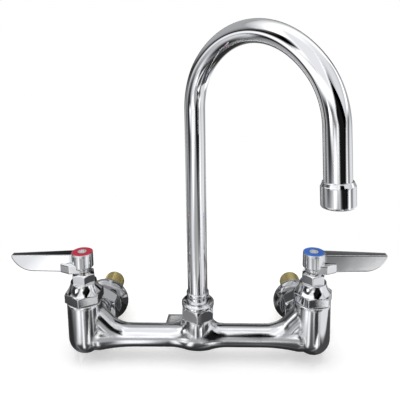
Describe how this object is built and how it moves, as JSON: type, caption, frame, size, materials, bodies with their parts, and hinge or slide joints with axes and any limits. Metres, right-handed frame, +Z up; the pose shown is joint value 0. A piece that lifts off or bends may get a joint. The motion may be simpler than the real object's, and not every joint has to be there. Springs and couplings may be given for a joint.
{
  "type": "wall-mounted mixer tap",
  "caption": "Wall-mounted mixer tap with a swinging gooseneck spout, lever-handled hot and cold valves, eccentric wall flanges and threaded supply nipples.",
  "frame": {"origin": "on the finished wall plane, midway between the axes of the supply nipples", "axes": "+X to the right along the row of valves as seen by the user, +Y into the wall along the nipples, +Z up"},
  "size_m": [0.328, 0.2237, 0.2984],
  "materials": {
    "chrome_body": "polished chrome plate on cast brass",
    "chrome_tube": "polished chrome plate on drawn brass tube",
    "chrome_fittings": "polished chrome plate on machined brass",
    "chrome_handle": "polished chrome plate on die-cast metal",
    "chrome_flange": "polished chrome plate",
    "chrome_screw": "polished plated steel",
    "nipple_brass": "bare turned brass",
    "bare_brass": "bare machined brass",
    "black_rubber": "moulded rubber",
    "white_plastic": "moulded plastic",
    "graphite_packing": "pressed packing",
    "fibre": "red-brown fibre",
    "index_red": "glossy",
    "index_blue": "glossy"
  },
  "bodies": {
    "mixer": {"mixer_body": "chrome_body", "spout_nut": "chrome_fittings", "thrust_ring_lower": "white_plastic", "thrust_ring_upper": "white_plastic", "valve_seat_left": "bare_brass", "bonnet_left": "chrome_fittings", "bonnet_gasket_left": "fibre", "packing_ring_left": "graphite_packing", "packing_nut_left": "chrome_fittings", "inlet_tail_left": "chrome_fittings", "coupling_washer_left": "fibre", "coupling_nut_left": "chrome_fittings", "wall_flange_left": "chrome_flange", "supply_nipple_left": "nipple_brass", "valve_seat_right": "bare_brass", "bonnet_right": "chrome_fittings", "bonnet_gasket_right": "fibre", "packing_ring_right": "graphite_packing", "packing_nut_right": "chrome_fittings", "inlet_tail_right": "chrome_fittings", "coupling_washer_right": "fibre", "coupling_nut_right": "chrome_fittings", "wall_flange_right": "chrome_flange", "supply_nipple_right": "nipple_brass"},
    "spout": {"gooseneck_tube": "chrome_tube", "spout_base": "chrome_fittings", "spout_seal_lower": "black_rubber", "spout_seal_upper": "black_rubber", "outlet_ferrule": "bare_brass", "outlet_housing": "chrome_fittings", "outlet_washer": "black_rubber", "flow_straightener": "white_plastic"},
    "washer_lift_left": {"washer_holder_left": "bare_brass", "seat_washer_left": "black_rubber", "washer_screw_left": "bare_brass"},
    "handle_left": {"valve_stem_left": "bare_brass", "lever_handle_left": "chrome_handle", "index_ring_left": "index_red", "handle_screw_left": "chrome_screw"},
    "washer_lift_right": {"washer_holder_right": "bare_brass", "seat_washer_right": "black_rubber", "washer_screw_right": "bare_brass"},
    "handle_right": {"valve_stem_right": "bare_brass", "lever_handle_right": "chrome_handle", "index_ring_right": "index_blue", "handle_screw_right": "chrome_screw"}
  },
  "joints": [
    {"name": "spout_swivel", "type": "hinge", "parent": "mixer", "child": "spout", "pos_m": [0, -0.06, 0.033], "axis": [0, 0, 1], "continuous": true},
    {"name": "valve_left_rise", "type": "slide", "parent": "mixer", "child": "washer_lift_left", "axis": [0, 0, 1], "range_m": [0, 0.0016]},
    {"name": "handle_left_turn", "type": "hinge", "parent": "washer_lift_left", "child": "handle_left", "pos_m": [-0.1016, -0.06, 0.07], "axis": [0, 0, 1], "range_deg": [0, 90]},
    {"name": "valve_right_rise", "type": "slide", "parent": "mixer", "child": "washer_lift_right", "axis": [0, 0, 1], "range_m": [0, 0.0016]},
    {"name": "handle_right_turn", "type": "hinge", "parent": "washer_lift_right", "child": "handle_right", "pos_m": [0.1016, -0.06, 0.07], "axis": [0, 0, -1], "range_deg": [0, 90]}
  ],
  "couplings": [
    {"joint": "valve_left_rise", "follows": "handle_left_turn", "m_per_rad": 0.0010186},
    {"joint": "valve_right_rise", "follows": "handle_right_turn", "m_per_rad": 0.0010186}
  ]
}
